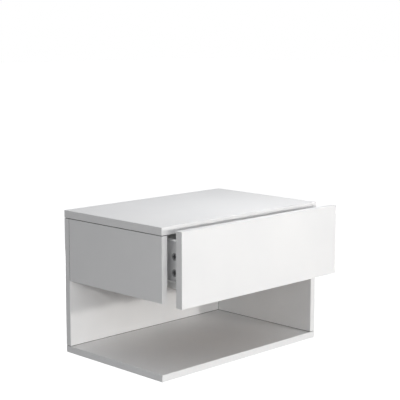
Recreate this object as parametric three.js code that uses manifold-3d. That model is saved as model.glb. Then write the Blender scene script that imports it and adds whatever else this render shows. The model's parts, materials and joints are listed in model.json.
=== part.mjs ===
// A wall-hung nightstand: one drawer over an open shelf, closed on the right and open on the left.
// Sizes are in millimetres. X runs to the viewer's right, Y into the wall and Z up.
// The origin is the centre of the back panel's wall face.
// The drawer stands a little open, as it is photographed.
import * as THREE from "three";
import { mergeVertices } from "three/addons/utils/BufferGeometryUtils.js";
import Module from "manifold-3d";

const wasm = await Module();
wasm.setup();

// Cabinet
const width = 520;
const depth = 336;
const height = 344;
const bayHeight = 150; // the drawer bay, from the top panel's underside to the left panel's lower end
const board = 16;
const topBoard = 18;

// Drawer
const frontBoard = 18;
const frontReveal = 2; // the top surface stands this much above the drawer front
const frontOverhang = 2; // the drawer front reaches this much below the left panel
const closedGap = 2; // between the closed front and the cabinet
const pulledOut = 42; // from the closed place
const drawerBoard = 16;
const drawerRearGap = 22; // between the closed drawer and the back panel
const drawerTopGap = 13.5;
const hardboard = 3;
const grooveRise = 10; // from a drawer side's lower edge up to the groove
const grooveDepth = 6;

// Roller runners
const runnerGap = 12.5; // between a side panel and a drawer side
const sheet = 1.25;
const runnerRise = 30.5; // from the drawer bay's lower end up to the drawer's runners
const runnerFrontGap = 17; // from the cabinet's front edge
const runnerRearGap = 3;
const drawerRunnerSetback = 2; // behind the drawer front
const extensionLoss = 75; // the length of the drawer that never leaves the cabinet
const flangeRise = 18.5; // from the drawer runner's foot up to the top of its flange
const footReach = 12; // under the drawer side
const flangePanelGap = 2.25; // between the drawer runner's flange and the side panel
const flangeTipGap = 1.25; // between the cabinet runner's flanges and the drawer runner
const flangeGap = 1; // between the drawer runner's flange and the cabinet runner below it
const stopHeight = 4;

// Rollers and their pins
const rollerRadius = 8;
const rollerInset = 10; // from the cabinet runner's front end
const rollerRearInset = 12; // from the drawer runner's rear end
const rollerBevel = 0.75;
const rollingGap = 0.25;
const endPlay = 0.5;
const pinRadius = 2;
const pinTailRadius = 1.5;
const pinHeadRadius = 3;
const pinHead = 1.25;
const pinHeadGap = 1;

// Runner screws
const runnerScrewRadius = 1.75;
const runnerScrewHeadRadius = 3;
const runnerScrewHead = 1.5;
const runnerScrewFloor = 4; // board left past the screw's tip
const runnerScrewGap = 7; // between a screw's head and the nearest roller
const runnerScrewEnd = 9; // from the cabinet runner's rear end

// Carcass screws
const screwBite = 34; // in the edge of the second board
const screwSink = 0.5; // of the head, under the board's face
const screwHeadRadius = 5;
const screwHeadDepth = 3;
const screwRadius = 3.5;
const screwTip = 5;
const socketRadius = 2.25;
const socketDepth = 2.5;

// Cam fittings and their bolts
const camBoreRadius = 7.5;
const camFloor = 3.5; // board left behind the cam
const camRimRadius = 8.5;
const camRim = 0.75;
const boltReach = 34; // from the joined board's face to the cam's centre
const boltFloor = 7; // joined board left past the bolt's tip
const boltThreadRadius = 2.5;
const boltCollarRadius = 3.5;
const boltCollar = 2;
const boltRadius = 3;
const boltNeckRadius = 1.75;
const boltNeck = 4;
const boltHeadRadius = 2.75;
const boltHead = 3;
const camRecessLength = 8;
const camRecessWidth = 2;
const camRecessDepth = 2.5;

// Dowels
const dowelRadius = 4;
const dowelBevel = 1;
const dowelFloor = 5; // top panel left past the dowel
const dowelBite = 19; // in the back panel's edge

// Places of the fasteners
const topCamInset = 50; // from the front edge, and from the back panel
const drawerCamRise = 34; // from a drawer side's lower edge
const drawerCamPitch = 36;
const uprightScrewInset = 50; // under the right panel, from the front edge and from the back panel
const shelfScrewSpacing = 340; // between the screws under the back panel
const dowelSpacing = 240;
const leftScrewRise = 20; // from the left panel's lower end
const leftScrewDrop = 60; // from its upper end
const drawerScrewInset = 25; // from the drawer back's lower and upper edges
const wallHoleRadius = 3;
const wallHoleSpacing = 340;
const wallHoleDrop = 35; // from the top panel's underside
const wallHoleRise = 45; // from the drawer bay's lower end

// Fits and cuts
const fit = 0.3;
const overrun = 1; // of a cut past the face that it opens
const slotWidth = 0.75;
const slotDepth = 0.75;
const fastenerSides = 12;
const camSides = 20;
const rollerSides = 24;
const socketSides = 6;

// Planes of the cabinet
const backHeight = height - topBoard - board;
const shelfTopZ = -backHeight / 2;
const bottomZ = shelfTopZ - board;
const topUnderZ = backHeight / 2;
const topZ = topUnderZ + topBoard;
const bayBottomZ = topUnderZ - bayHeight;
const leftX = -width / 2;
const rightX = width / 2;
const innerX = rightX - board;
const wallY = 0;
const backFaceY = wallY - board;
const frontY = wallY - depth;

// Planes of the closed drawer
const frontRearY = frontY - closedGap;
const frontFaceY = frontRearY - frontBoard;
const drawerRearY = backFaceY - drawerRearGap;
const drawerBackFaceY = drawerRearY - drawerBoard;
const drawerX = innerX - runnerGap;
const drawerInnerX = drawerX - drawerBoard;
const footZ = bayBottomZ + runnerRise;
const drawerBottomZ = footZ + sheet;
const drawerTopZ = topUnderZ - drawerTopGap;
const grooveZ = drawerBottomZ + grooveRise;
const grooveWidth = hardboard + fit + fit;

// Places on the runners
const runnerFrontY = frontY + runnerFrontGap;
const runnerRearY = backFaceY - runnerRearGap;
const runnerLength = runnerRearY - runnerFrontY;
const travel = runnerLength - extensionLoss;
const flangeTopZ = footZ + flangeRise;
const flangeUnderZ = flangeTopZ - sheet;
const channelTopZ = flangeUnderZ - flangeGap;
const channelHeight = rollerRadius * 2 + rollingGap * 2;
const channelFloorZ = channelTopZ - sheet - channelHeight;
const channelBottomZ = channelFloorZ - sheet;
const channelReach = runnerGap - sheet - flangeTipGap;
const rollerWidth = runnerGap - sheet * 2 - endPlay * 2 - pinHead - pinHeadGap;
const cabinetRollerY = runnerFrontY + rollerInset;
const cabinetRollerZ = flangeUnderZ - rollingGap - rollerRadius;
const drawerRollerY = drawerRearY - rollerRearInset;
const drawerRollerZ = channelFloorZ + rollingGap + rollerRadius;
const screwClearY = rollerRadius + runnerScrewHeadRadius + runnerScrewGap;

// Finishes
function finish(color, roughness, metalness = 0) {
  return new THREE.MeshStandardMaterial({ color, roughness, metalness });
}

const whiteBoard = finish(0xf3f3f1, 0.45);
const whiteHardboard = finish(0xe6e5e1, 0.7);
const coatedSteel = finish(0xeeeeec, 0.35);
const zincSteel = finish(0xb9bbbd, 0.35, 1);
const darkZinc = finish(0x55565a, 0.45, 1);
const nylon = finish(0xe9e6dc, 0.5);
const beech = finish(0xc9a878, 0.75);

const at = (x, y, z) => new THREE.Vector3(x, y, z);
const LEFT = at(-1, 0, 0);
const RIGHT = at(1, 0, 0);
const FORWARD = at(0, -1, 0);
const BACKWARD = at(0, 1, 0);
const UP = at(0, 0, 1);
const DOWN = at(0, 0, -1);
const sides = [
  { name: "left", sign: -1, outward: LEFT, inward: RIGHT },
  { name: "right", sign: 1, outward: RIGHT, inward: LEFT },
];

// Solids: a closed geometry becomes a solid that can be cut and joined, and a solid becomes a geometry.
function solidOf(geometry) {
  const bare = geometry.clone();
  bare.deleteAttribute("normal");
  bare.deleteAttribute("uv");
  const merged = mergeVertices(bare);
  return new wasm.Manifold(
    new wasm.Mesh({
      numProp: 3,
      vertProperties: merged.attributes.position.array,
      triVerts: new Uint32Array(merged.index.array),
    }),
  );
}

function geometryOf(solid) {
  const mesh = solid.getMesh();
  const geometry = new THREE.BufferGeometry();
  geometry.setAttribute("position", new THREE.BufferAttribute(mesh.vertProperties, mesh.numProp));
  geometry.setIndex(new THREE.BufferAttribute(mesh.triVerts, 1));
  const flat = geometry.toNonIndexed();
  flat.computeVertexNormals();
  return flat;
}

function cutFrom(geometry, cutters) {
  return geometryOf(cutters.reduce((left, cutter) => left.subtract(solidOf(cutter)), solidOf(geometry)));
}

function joinedWith(geometry, additions) {
  return geometryOf(additions.reduce((sum, addition) => sum.add(solidOf(addition)), solidOf(geometry)));
}

function boxBetween(low, high) {
  const size = high.clone().sub(low);
  const middle = low.clone().add(high).divideScalar(2);
  return new THREE.BoxGeometry(size.x, size.y, size.z).translate(middle.x, middle.y, middle.z);
}

// A turned shape about its own Y axis. Each point is a radius and a station, and the stations rise.
function turned(outline, segments = fastenerSides) {
  const points = outline.map(([radius, station]) => new THREE.Vector2(radius, station));
  return new THREE.LatheGeometry(points, segments);
}

// The turn that sends a shape's own Y axis along a direction
function aimed(direction) {
  return new THREE.Quaternion().setFromUnitVectors(BACKWARD, direction);
}

function placed(geometry, place, turn) {
  return geometry.clone().applyMatrix4(new THREE.Matrix4().compose(place, turn, at(1, 1, 1)));
}

// A round hole that opens at a point of a face and runs along a direction
function drilled(place, direction, radius, length, segments = fastenerSides) {
  const outline = [[0, -overrun], [radius, -overrun], [radius, length], [0, length]];
  return placed(turned(outline, segments), place, aimed(direction));
}

// A cross slot in a head whose own Y axis points out of it and whose top is at a station
function crossSlot(length, slot, slotFloor, top) {
  return [
    boxBetween(at(-length / 2, slotFloor, -slot / 2), at(length / 2, top + overrun, slot / 2)),
    boxBetween(at(-slot / 2, slotFloor, -length / 2), at(slot / 2, top + overrun, length / 2)),
  ];
}

// The cabinet stays still, and the drawer is a group of its own that slides along Y.
const cabinet = new THREE.Group();
const drawer = new THREE.Group();
drawer.position.y = -pulledOut;

function addPiece(group, name, material, geometry, place = at(0, 0, 0), turn = aimed(BACKWARD)) {
  const mesh = new THREE.Mesh(geometry, material);
  mesh.name = name;
  mesh.position.copy(place);
  mesh.quaternion.copy(turn);
  group.add(mesh);
}

// The bores that fasteners need in each board, by the board's name
const bores = {};

function bore(boardName, ...cutters) {
  bores[boardName] = [...(bores[boardName] ?? []), ...cutters];
}

// A board between two corners, less its fasteners' bores and its own grooves
function addBoard(group, name, low, high, grooves = [], material = whiteBoard) {
  const middle = low.clone().add(high).divideScalar(2);
  const shape = cutFrom(boxBetween(low, high), [...(bores[name] ?? []), ...grooves]);
  addPiece(group, name, material, shape.translate(-middle.x, -middle.y, -middle.z), middle);
}

// A countersunk carcass screw through one board and into the edge of the next.
// Its stations start at the first board's face.
function screwOutline(thickness, gap) {
  return [
    [0, screwSink],
    [screwHeadRadius + gap, screwSink],
    [screwRadius + gap, screwSink + screwHeadDepth],
    [screwRadius + gap, thickness + screwBite - screwTip],
    [0, thickness + screwBite + gap],
  ];
}

function addCarcassScrew(group, name, place, direction, thickness, boardNames) {
  const socket = new THREE.CylinderGeometry(socketRadius, socketRadius, socketDepth + overrun, socketSides);
  socket.translate(0, screwSink + (socketDepth - overrun) / 2, 0);
  const shape = cutFrom(turned(screwOutline(thickness, 0)), [socket]);
  addPiece(group, name, zincSteel, shape, place, aimed(direction));
  const hole = placed(turned(screwOutline(thickness, fit)), place, aimed(direction));
  const mouth = drilled(place, direction, screwHeadRadius + fit, screwSink);
  for (const boardName of boardNames) bore(boardName, hole, mouth);
}

// A cam pressed in a board's face. Its own Y axis points out of that face, and Z to the joined board.
function camShape(thickness) {
  const camDepth = thickness - camFloor;
  const outline = [
    [0, -camDepth],
    [camBoreRadius - fit, -camDepth],
    [camBoreRadius - fit, 0],
    [camRimRadius, 0],
    [camRimRadius, camRim],
    [0, camRim],
  ];
  const pocketRadius = boltHeadRadius + fit;
  const pocketStart = -boltHead / 2 - fit;
  const pocketOutline = [
    [0, pocketStart],
    [pocketRadius, pocketStart],
    [pocketRadius, camBoreRadius + overrun],
    [0, camBoreRadius + overrun],
  ];
  const pocket = placed(turned(pocketOutline), at(0, -thickness / 2, 0), aimed(UP));
  const recess = crossSlot(camRecessLength, camRecessWidth, camRim - camRecessDepth, camRim);
  return cutFrom(turned(outline, camSides), [pocket, ...recess]);
}

// The bolt that a cam pulls. Its stations run from the tip, in the joined board, to the head in the cam.
function camBoltShape(bite) {
  const headStart = boltReach - boltHead / 2;
  const neckStart = headStart - boltNeck;
  return turned([
    [0, -bite],
    [boltThreadRadius, -bite + boltThreadRadius],
    [boltThreadRadius, 0],
    [boltCollarRadius, 0],
    [boltCollarRadius, boltCollar],
    [boltRadius, boltCollar],
    [boltRadius, neckStart],
    [boltNeckRadius, neckStart],
    [boltNeckRadius, headStart],
    [boltHeadRadius, headStart],
    [boltHeadRadius, headStart + boltHead],
    [0, headStart + boltHead],
  ]);
}

// carrier holds the cam and partner the bolt's thread. Each is a board's name and thickness.
function addCamJoint(group, name, camPlace, outOfFace, toPartner, carrier, partner) {
  const across = at(0, 0, 0).crossVectors(outOfFace, toPartner);
  const basis = new THREE.Matrix4().makeBasis(across, outOfFace, toPartner);
  const camTurn = new THREE.Quaternion().setFromRotationMatrix(basis);
  addPiece(group, name + "_cam", darkZinc, camShape(carrier.thickness), camPlace, camTurn);

  const bite = partner.thickness - boltFloor;
  const seat = camPlace.clone().addScaledVector(outOfFace, -carrier.thickness / 2);
  seat.addScaledVector(toPartner, boltReach);
  const toCam = toPartner.clone().negate();
  addPiece(group, name + "_bolt", zincSteel, camBoltShape(bite), seat, aimed(toCam));

  const intoFace = outOfFace.clone().negate();
  const camBoreDepth = carrier.thickness - camFloor + fit;
  bore(carrier.name, drilled(camPlace, intoFace, camBoreRadius, camBoreDepth, camSides));
  bore(carrier.name, drilled(seat, toCam, boltCollarRadius + fit, boltReach));
  bore(partner.name, drilled(seat, toPartner, boltThreadRadius + fit, bite + fit));
}

// A pan-head screw that holds a runner's sheet to a board. Its own Y axis points out of the board.
function addRunnerScrew(group, name, sheetPlace, outOfBoard, thickness, boardName, sheetHoles) {
  const tip = -(sheet + thickness - runnerScrewFloor);
  const body = turned([
    [0, tip],
    [runnerScrewRadius, tip + runnerScrewRadius],
    [runnerScrewRadius, 0],
    [runnerScrewHeadRadius, 0],
    [runnerScrewHeadRadius, runnerScrewHead / 2],
    [runnerScrewHeadRadius - runnerScrewHead / 2, runnerScrewHead],
    [0, runnerScrewHead],
  ]);
  const slot = crossSlot(runnerScrewHeadRadius, slotWidth, runnerScrewHead - slotDepth, runnerScrewHead);
  addPiece(group, name, zincSteel, cutFrom(body, slot), sheetPlace, aimed(outOfBoard));
  const hole = drilled(sheetPlace, outOfBoard.clone().negate(), runnerScrewRadius + fit, fit - tip);
  bore(boardName, hole);
  sheetHoles.push(hole);
}

// A nylon roller between a sheet and its pin's head.
// Both are turned shapes that stand on the sheet, along their own Y axis.
function addRoller(group, name, sheetPlace, outOfSheet, sheetHoles) {
  const tread = rollerWidth - rollerBevel;
  const innerRadius = pinRadius + fit;
  const rim = [
    [innerRadius, 0],
    [rollerRadius - rollerBevel, 0],
    [rollerRadius, rollerBevel],
    [rollerRadius, tread],
    [rollerRadius - rollerBevel, rollerWidth],
    [innerRadius, rollerWidth],
    [innerRadius, 0],
  ];
  const rollerPlace = sheetPlace.clone().addScaledVector(outOfSheet, endPlay);
  addPiece(group, name, nylon, turned(rim, rollerSides), rollerPlace, aimed(outOfSheet));

  const headStart = rollerWidth + endPlay * 2;
  const collar = endPlay - fit;
  const pin = [
    [0, -sheet],
    [pinTailRadius, -sheet],
    [pinTailRadius, 0],
    [pinHeadRadius, 0],
    [pinHeadRadius, collar],
    [pinRadius, collar],
    [pinRadius, headStart],
    [pinHeadRadius, headStart],
    [pinHeadRadius, headStart + pinHead],
    [0, headStart + pinHead],
  ];
  addPiece(group, name + "_pin", zincSteel, turned(pin), sheetPlace, aimed(outOfSheet));
  sheetHoles.push(drilled(sheetPlace, outOfSheet.clone().negate(), pinTailRadius + fit, sheet + overrun));
}

// A runner's section, drawn as distances from the side panel and heights, carried along Y
function runnerBar(side, section, startY, endY) {
  const outline = section.map(([distance, z]) => new THREE.Vector2(side.sign * (innerX - distance), -z));
  const shape = new THREE.Shape(outline);
  const bar = new THREE.ExtrudeGeometry(shape, { depth: endY - startY, bevelEnabled: false });
  return bar.rotateX(-Math.PI / 2).translate(0, startY, 0);
}

function addCabinetRunner(side) {
  const panelName = side.name + "_side_panel";
  const webX = side.sign * (innerX - sheet);
  const holes = [];
  const rollerPlace = at(webX, cabinetRollerY, cabinetRollerZ);
  addRoller(cabinet, side.name + "_cabinet_roller", rollerPlace, side.inward, holes);
  const screwZ = channelFloorZ + channelHeight / 2;
  const screwPlaces = {
    front: at(webX, cabinetRollerY + screwClearY, screwZ),
    rear: at(webX, runnerRearY - runnerScrewEnd, screwZ),
  };
  for (const [end, place] of Object.entries(screwPlaces)) {
    const name = `${side.name}_cabinet_runner_${end}_screw`;
    addRunnerScrew(cabinet, name, place, side.inward, board, panelName, holes);
  }

  // A channel that is open towards the drawer. Its upper flange is cut away over the front roller.
  const channel = runnerBar(
    side,
    [
      [0, channelBottomZ],
      [channelReach, channelBottomZ],
      [channelReach, channelFloorZ],
      [sheet, channelFloorZ],
      [sheet, channelTopZ - sheet],
      [channelReach, channelTopZ - sheet],
      [channelReach, channelTopZ],
      [0, channelTopZ],
    ],
    runnerFrontY,
    runnerRearY,
  );
  const clearEndY = cabinetRollerY + rollerRadius + overrun;
  const clearing = runnerBar(
    side,
    [
      [sheet, channelTopZ - sheet - overrun],
      [channelReach + overrun, channelTopZ - sheet - overrun],
      [channelReach + overrun, channelTopZ + overrun],
      [sheet, channelTopZ + overrun],
    ],
    runnerFrontY - overrun,
    clearEndY,
  );

  // The lug that stops the drawer's roller at full travel
  const rollerAboveLug = rollerRadius - (stopHeight - rollingGap);
  const chord = Math.sqrt(rollerRadius ** 2 - rollerAboveLug ** 2);
  const lugRearY = drawerRollerY - travel - chord - fit;
  const lug = runnerBar(
    side,
    [
      [0, channelBottomZ],
      [channelReach, channelBottomZ],
      [channelReach, channelFloorZ + stopHeight],
      [0, channelFloorZ + stopHeight],
    ],
    lugRearY - sheet,
    lugRearY,
  );
  const shape = cutFrom(joinedWith(channel, [lug]), [clearing, ...holes]);
  addPiece(cabinet, side.name + "_cabinet_runner", coatedSteel, shape);
}

function addDrawerRunner(side) {
  const panelName = "drawer_" + side.name + "_side";
  const legX = side.sign * (drawerX + sheet);
  const holes = [];
  const rollerPlace = at(legX, drawerRollerY, drawerRollerZ);
  addRoller(drawer, side.name + "_drawer_roller", rollerPlace, side.outward, holes);
  const screwZ = (drawerBottomZ + flangeUnderZ) / 2;
  const screwPlaces = {
    front: at(legX, cabinetRollerY - screwClearY, screwZ),
    rear: at(legX, drawerRollerY - screwClearY, screwZ),
  };
  for (const [end, place] of Object.entries(screwPlaces)) {
    const name = `${side.name}_drawer_runner_${end}_screw`;
    addRunnerScrew(drawer, name, place, side.outward, drawerBoard, panelName, holes);
  }

  // A foot under the drawer side, a leg up its outer face and a flange that rolls on the cabinet's roller
  const legDistance = runnerGap - sheet;
  const bar = runnerBar(
    side,
    [
      [legDistance, footZ],
      [runnerGap + footReach, footZ],
      [runnerGap + footReach, drawerBottomZ],
      [runnerGap, drawerBottomZ],
      [runnerGap, flangeTopZ],
      [flangePanelGap, flangeTopZ],
      [flangePanelGap, flangeUnderZ],
      [legDistance, flangeUnderZ],
    ],
    frontRearY + drawerRunnerSetback,
    drawerRearY,
  );
  addPiece(drawer, side.name + "_drawer_runner", coatedSteel, cutFrom(bar, holes));
}

// A dowel across the joint between the top panel and the back panel's upper edge
function addBackDowel(side) {
  const panelBite = topBoard - dowelFloor;
  const outline = (gap) => [
    [0, -panelBite - gap],
    [dowelRadius - dowelBevel + gap, -panelBite - gap],
    [dowelRadius + gap, -panelBite + dowelBevel - gap],
    [dowelRadius + gap, dowelBite - dowelBevel + gap],
    [dowelRadius - dowelBevel + gap, dowelBite + gap],
    [0, dowelBite + gap],
  ];
  const place = at((side.sign * dowelSpacing) / 2, wallY - board / 2, topUnderZ);
  addPiece(cabinet, side.name + "_back_dowel", beech, turned(outline(0)), place, aimed(DOWN));
  const hole = placed(turned(outline(fit)), place, aimed(DOWN));
  bore("top_panel", hole);
  bore("back_panel", hole);
}

function addCabinetFasteners() {
  const topCamZ = topUnderZ - boltReach;
  const camYs = { front: frontY + topCamInset, rear: backFaceY - topCamInset };
  for (const side of sides) {
    addBackDowel(side);
    for (const [end, y] of Object.entries(camYs)) {
      const carrier = { name: side.name + "_side_panel", thickness: board };
      const partner = { name: "top_panel", thickness: topBoard };
      const place = at(side.sign * innerX, y, topCamZ);
      addCamJoint(cabinet, `${side.name}_${end}_top`, place, side.inward, UP, carrier, partner);
    }
  }

  const backScrews = {
    left_panel_upper_screw: [leftX + board / 2, topUnderZ - leftScrewDrop, "left_side_panel"],
    left_panel_lower_screw: [leftX + board / 2, bayBottomZ + leftScrewRise, "left_side_panel"],
    right_panel_back_screw: [rightX - board / 2, (shelfTopZ + topUnderZ) / 2, "right_side_panel"],
  };
  for (const [name, [x, z, boardName]] of Object.entries(backScrews)) {
    addCarcassScrew(cabinet, name, at(x, wallY, z), FORWARD, board, ["back_panel", boardName]);
  }

  const uprightX = rightX - board / 2;
  const edgeY = wallY - board / 2;
  const footScrews = {
    right_panel_front_foot_screw: [uprightX, frontY + uprightScrewInset, "right_side_panel"],
    right_panel_rear_foot_screw: [uprightX, backFaceY - uprightScrewInset, "right_side_panel"],
    back_panel_left_foot_screw: [-shelfScrewSpacing / 2, edgeY, "back_panel"],
    back_panel_right_foot_screw: [shelfScrewSpacing / 2, edgeY, "back_panel"],
  };
  for (const [name, [x, y, boardName]] of Object.entries(footScrews)) {
    addCarcassScrew(cabinet, name, at(x, y, bottomZ), UP, board, ["bottom_shelf", boardName]);
  }
}

// Four holes for the wall screws, inside the drawer bay
function wallHoles() {
  const heights = [topUnderZ - wallHoleDrop, bayBottomZ + wallHoleRise];
  const spots = heights.flatMap((z) => sides.map((side) => at((side.sign * wallHoleSpacing) / 2, wallY, z)));
  return spots.map((spot) => drilled(spot, FORWARD, wallHoleRadius, board + overrun));
}

function addCabinetBoards() {
  addBoard(cabinet, "top_panel", at(leftX, frontY, topUnderZ), at(rightX, wallY, topZ));
  addBoard(cabinet, "left_side_panel", at(leftX, frontY, bayBottomZ), at(-innerX, backFaceY, topUnderZ));
  addBoard(cabinet, "right_side_panel", at(innerX, frontY, shelfTopZ), at(rightX, backFaceY, topUnderZ));
  addBoard(cabinet, "back_panel", at(leftX, backFaceY, shelfTopZ), at(rightX, wallY, topUnderZ), wallHoles());
  addBoard(cabinet, "bottom_shelf", at(leftX, frontY, bottomZ), at(rightX, wallY, shelfTopZ));
}

function addDrawerFasteners() {
  for (const side of sides) {
    const carrier = { name: `drawer_${side.name}_side`, thickness: drawerBoard };
    const partner = { name: "drawer_front", thickness: frontBoard };
    const lowCamZ = drawerBottomZ + drawerCamRise;
    const camZs = { lower: lowCamZ, upper: lowCamZ + drawerCamPitch };
    for (const [level, z] of Object.entries(camZs)) {
      const place = at(side.sign * drawerX, frontRearY + boltReach, z);
      addCamJoint(drawer, `drawer_${side.name}_${level}`, place, side.outward, FORWARD, carrier, partner);
    }
    const screwZs = { lower: drawerBottomZ + drawerScrewInset, upper: drawerTopZ - drawerScrewInset };
    for (const [level, z] of Object.entries(screwZs)) {
      const place = at(side.sign * drawerX, drawerRearY - drawerBoard / 2, z);
      const name = `drawer_${side.name}_${level}_back_screw`;
      addCarcassScrew(drawer, name, place, side.inward, drawerBoard, [carrier.name, "drawer_back"]);
    }
  }
}

function addDrawerBoards() {
  const grooveX = drawerInnerX + grooveDepth;
  const groove = boxBetween(
    at(-grooveX, frontRearY - grooveDepth, grooveZ),
    at(grooveX, drawerBackFaceY + grooveDepth, grooveZ + grooveWidth),
  );
  const frontLow = at(leftX, frontFaceY, bayBottomZ - frontOverhang);
  const frontHigh = at(rightX, frontRearY, topZ - frontReveal);
  addBoard(drawer, "drawer_front", frontLow, frontHigh, [groove]);
  const backLow = at(-drawerInnerX, drawerBackFaceY, drawerBottomZ);
  addBoard(drawer, "drawer_back", backLow, at(drawerInnerX, drawerRearY, drawerTopZ), [groove]);
  const leftHigh = at(-drawerInnerX, drawerRearY, drawerTopZ);
  addBoard(drawer, "drawer_left_side", at(-drawerX, frontRearY, drawerBottomZ), leftHigh, [groove]);
  const rightHigh = at(drawerX, drawerRearY, drawerTopZ);
  addBoard(drawer, "drawer_right_side", at(drawerInnerX, frontRearY, drawerBottomZ), rightHigh, [groove]);
  const bottomLow = at(-grooveX + fit, frontRearY - grooveDepth + fit, grooveZ + fit);
  const bottomHigh = at(grooveX - fit, drawerBackFaceY + grooveDepth - fit, grooveZ + fit + hardboard);
  addBoard(drawer, "drawer_bottom", bottomLow, bottomHigh, [], whiteHardboard);
}

// Fasteners come first, because their bores are cut from the boards.
for (const side of sides) {
  addCabinetRunner(side);
  addDrawerRunner(side);
}
addCabinetFasteners();
addDrawerFasteners();
addCabinetBoards();
addDrawerBoards();

const nightstand = new THREE.Group();
nightstand.add(cabinet, drawer);
export default nightstand;
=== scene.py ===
"""The looks of a wall-hung nightstand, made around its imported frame.

Lengths are in metres. X runs to the viewer's right, Y into the wall and Z up. Each piece takes its place
from the box of the frame's node that it stands for. Shapes are points and faces worked out with numpy.
A point's wear, from 0 to 1, says how much its finish shows use or a worked edge. A name that ends in
SHARE holds a part of another size.
"""

import json
import math

import bpy
import numpy as np
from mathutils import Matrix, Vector

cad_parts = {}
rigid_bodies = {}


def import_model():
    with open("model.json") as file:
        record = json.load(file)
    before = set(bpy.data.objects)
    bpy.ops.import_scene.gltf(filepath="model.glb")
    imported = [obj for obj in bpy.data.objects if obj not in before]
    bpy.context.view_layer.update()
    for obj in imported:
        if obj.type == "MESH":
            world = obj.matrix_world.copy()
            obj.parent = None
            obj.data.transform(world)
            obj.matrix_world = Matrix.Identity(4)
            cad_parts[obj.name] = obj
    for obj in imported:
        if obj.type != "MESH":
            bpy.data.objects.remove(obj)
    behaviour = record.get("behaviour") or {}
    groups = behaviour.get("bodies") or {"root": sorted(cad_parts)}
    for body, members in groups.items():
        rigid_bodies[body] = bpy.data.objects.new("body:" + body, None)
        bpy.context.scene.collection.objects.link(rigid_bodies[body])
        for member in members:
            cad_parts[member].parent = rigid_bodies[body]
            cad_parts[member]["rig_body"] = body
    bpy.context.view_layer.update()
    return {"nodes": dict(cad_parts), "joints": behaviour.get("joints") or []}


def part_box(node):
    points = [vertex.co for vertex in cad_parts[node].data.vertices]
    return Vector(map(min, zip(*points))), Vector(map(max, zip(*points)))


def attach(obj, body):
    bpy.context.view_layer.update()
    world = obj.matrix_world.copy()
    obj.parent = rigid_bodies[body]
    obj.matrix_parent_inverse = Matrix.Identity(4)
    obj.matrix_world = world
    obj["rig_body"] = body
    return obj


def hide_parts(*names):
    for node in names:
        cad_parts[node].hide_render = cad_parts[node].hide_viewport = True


# The camera, fitted to the edges of the boards
CAMERA_PLACE = (-1.868357, -2.068022, 0.592435)
CAMERA_YAW = math.radians(44.869)
CAMERA_PITCH = math.radians(8.653)
LENS = 100.851
SENSOR = 36.0
SIGHT = 100.0

WARM = (1.0, 0.982, 0.955)
NEUTRAL = (1.0, 1.0, 1.0)

# Square lamps: the place, the point that the lamp faces, its size, its power and its colour
LAMPS = {
    "left_key_lamp": ((-1.184, -2.374, 0.446), (-0.17, -0.016, -0.04), 0.084, 9.9, WARM),
    "right_key_lamp": ((0.707, -2.374, 0.408), (0.0, -0.016, -0.075), 0.084, 16.3, WARM),
    "top_lamp": ((0.10, -0.45, 0.75), (0.10, -0.25, 0.0), 0.25, 1.9, NEUTRAL),
    "front_lamp": ((-1.5, -4.0, 1.0), (0.0, -0.17, 0.0), 1.5, 36.0, NEUTRAL),
    "rear_lamp": ((1.9, 2.6, -0.15), (0.0, -0.17, 0.0), 0.6, 14.0, NEUTRAL),
}

# The studio
AMBIENT = 0.6
AMBIENT_COLOUR = (0.96, 0.972, 1.0)
FLOOR_DROP = 0.4
FLOOR_SIDE = 60.0
FLOOR_GREY = 0.45
FLOOR_GLOW = 0.85
FLOOR_ROUGHNESS = 0.9

# Boards
EDGE_RADIUS = 0.0005
EDGE_STEPS = 4
BAND_THICKNESS = 0.001
HAIRLINE = 0.00006
HAIRLINE_DEPTH = 0.00005
HARDBOARD_RADIUS = 0.0002
WALL_HOLE_RADIUS = 0.003
WALL_HOLE_SPACING = 0.340
WALL_HOLE_DROP = 0.035
WALL_HOLE_RISE = 0.045

# Points closer than this are one
MERGE = 1e-7

# Cuts
FIT = 0.0003
OVERRUN = 0.001
BORE_SIDES = 32

# Fasteners and rollers
THREAD_STEPS = 8
FASTENER_SIDES = 24
CAM_SIDES = 48
ROLLER_SIDES = 64
BREAK = 0.0002

# The widest angle in degrees at which two faces are shaded as one, at first and for some pieces
SMOOTH_ANGLE = 30
BOARD_SMOOTH_ANGLE = 35
DOME_SMOOTH_ANGLE = 40
FLUTE_SMOOTH_ANGLE = 60

# Sheet steel
SHEET = 0.00125
BEND_RADIUS = 0.0006
BEND_STEPS = 6

# Directions, as the object's front is seen. A minus sign alone would leave negative zeros.
DIRECTIONS = ("right", "back", "up", "left", "front", "down")
AXES = dict(zip(DIRECTIONS, np.concatenate([np.eye(3), 0 - np.eye(3)])))
SIDES = (("left", -1.0), ("right", 1.0))


# Shapes

class Shape:
    """Points, faces as lists of point numbers, and the wear of each point"""

    def __init__(self, points, faces, wear=None):
        self.points = np.asarray(points, float)
        self.faces = faces
        self.wear = np.zeros(len(self.points)) if wear is None else np.asarray(wear, float)

    def moved(self, place, direction=AXES["up"]):
        """The shape with its own Z turned to a direction and its origin taken to a place"""
        along = np.asarray(direction, float)
        across = AXES["up"] if abs(along[2]) < 0.5 else AXES["right"]
        side = np.cross(across, along)
        basis = np.stack([side, np.cross(along, side), along])
        return Shape(self.points @ basis + np.asarray(place, float), self.faces, self.wear)


def joined(shapes):
    """Several shapes as one"""
    points, faces, wear = [], [], []
    count = 0
    for shape in shapes:
        points.append(shape.points)
        wear.append(shape.wear)
        faces += [[corner + count for corner in face] for face in shape.faces]
        count += len(shape.points)
    return Shape(np.concatenate(points), faces, np.concatenate(wear))


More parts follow.
